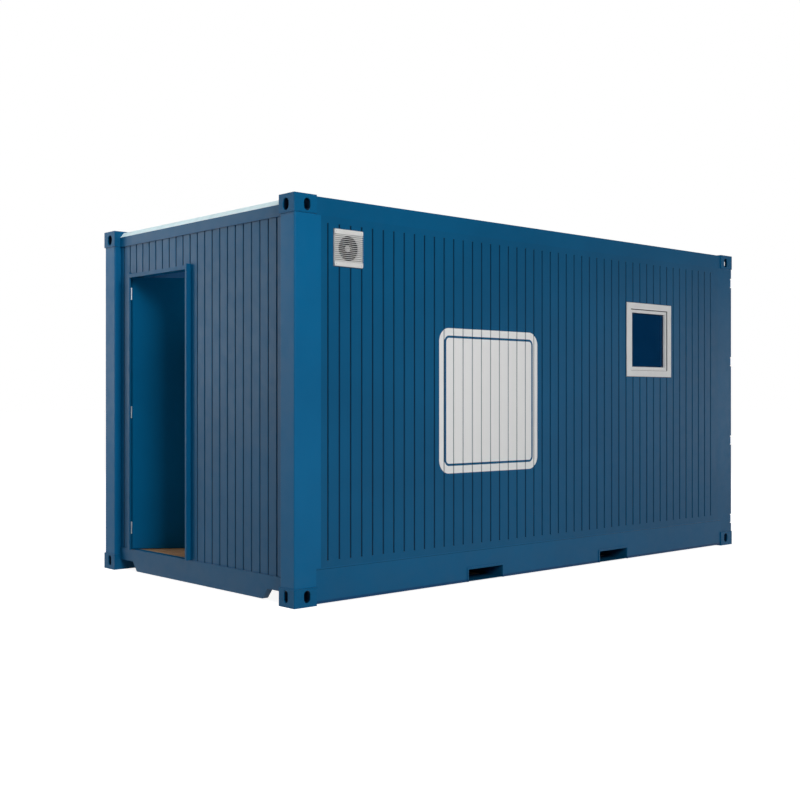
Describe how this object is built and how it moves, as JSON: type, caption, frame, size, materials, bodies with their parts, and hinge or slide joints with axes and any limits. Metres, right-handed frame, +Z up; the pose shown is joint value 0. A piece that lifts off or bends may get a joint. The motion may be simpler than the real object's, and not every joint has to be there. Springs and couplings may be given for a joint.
{
  "type": "shipping container cabin",
  "caption": "Steel-framed container cabin with corner castings, grooved walls, a personnel door in one end, a window and fan vent in a side, and cargo doors at the far end.",
  "frame": {"origin": "on the ground, under the middle of the four corner castings", "axes": "+Z up; +X along the length from the personnel door end to the cargo door end; -Y is the side with the window and the fan vent"},
  "size_m": [4.92, 2.4455, 2.591],
  "materials": {
    "casting_paint": "semi-gloss blue paint on cast steel",
    "blue_paint": "satin blue paint on steel",
    "wall_lining": "blue coated lining board on an insulated panel",
    "galvanised": "galvanised steel",
    "zinc": "zinc plated steel",
    "roof_paint": "pale coated steel",
    "plywood": "phenolic plywood, oiled",
    "white_plastic": "light grey moulded plastic",
    "dark_plastic": "dark moulded plastic",
    "glazing": "clear double glazing",
    "seal_rubber": "black rubber seal",
    "handle_metal": "satin anodised"
  },
  "bodies": {
    "cabin": {"corner_castings_bottom": "casting_paint", "corner_castings_top": "casting_paint", "door_end_posts": "blue_paint", "cargo_end_posts": "blue_paint", "top_side_rails": "blue_paint", "bottom_side_rails": "blue_paint", "door_end_top_rail": "blue_paint", "cargo_end_header": "blue_paint", "door_end_bottom_rail": "blue_paint", "cargo_end_sill": "blue_paint", "floor_cross_members": "galvanised", "fork_pockets": "galvanised", "floor_deck": "plywood", "door_nosing": "handle_metal", "roof_sheet": "roof_paint", "roof_end_flashings": "roof_paint", "roof_bows": "galvanised", "ceiling_panel": "wall_lining", "window_side_sheet": "blue_paint", "window_side_wall": "wall_lining", "plain_side_sheet": "blue_paint", "plain_side_wall": "wall_lining", "door_end_sheet": "blue_paint", "door_end_wall_latch_side": "wall_lining", "door_end_wall_over_door": "wall_lining", "door_end_wall_hinge_side": "wall_lining", "door_frame_jambs": "blue_paint", "door_frame_head": "blue_paint", "door_frame_hinges": "zinc", "window_frame": "white_plastic", "window_sash": "white_plastic", "window_glass": "glazing", "vent_grille": "white_plastic", "fan_duct": "dark_plastic", "cargo_door_window_side": "blue_paint", "cargo_door_plain_side": "blue_paint", "cargo_door_gasket": "seal_rubber", "cargo_door_hinges": "blue_paint", "cargo_lock_rods": "zinc", "cargo_lock_guides": "blue_paint", "cargo_lock_handles": "zinc"},
    "door": {"door_leaf": "blue_paint", "door_leaf_hinges": "zinc", "door_handles": "handle_metal"},
    "fan": {"fan_rotor": "dark_plastic"}
  },
  "joints": [
    {"name": "door_hinge", "type": "hinge", "parent": "cabin", "child": "door", "pos_m": [-2.414, 0.881, 1.206], "axis": [0, 0, 1], "range_deg": [-56, 34]},
    {"name": "fan_spin", "type": "hinge", "parent": "cabin", "child": "fan", "pos_m": [-2.0235, -1.219, 2.274], "axis": [0, 1, 0], "continuous": true}
  ]
}
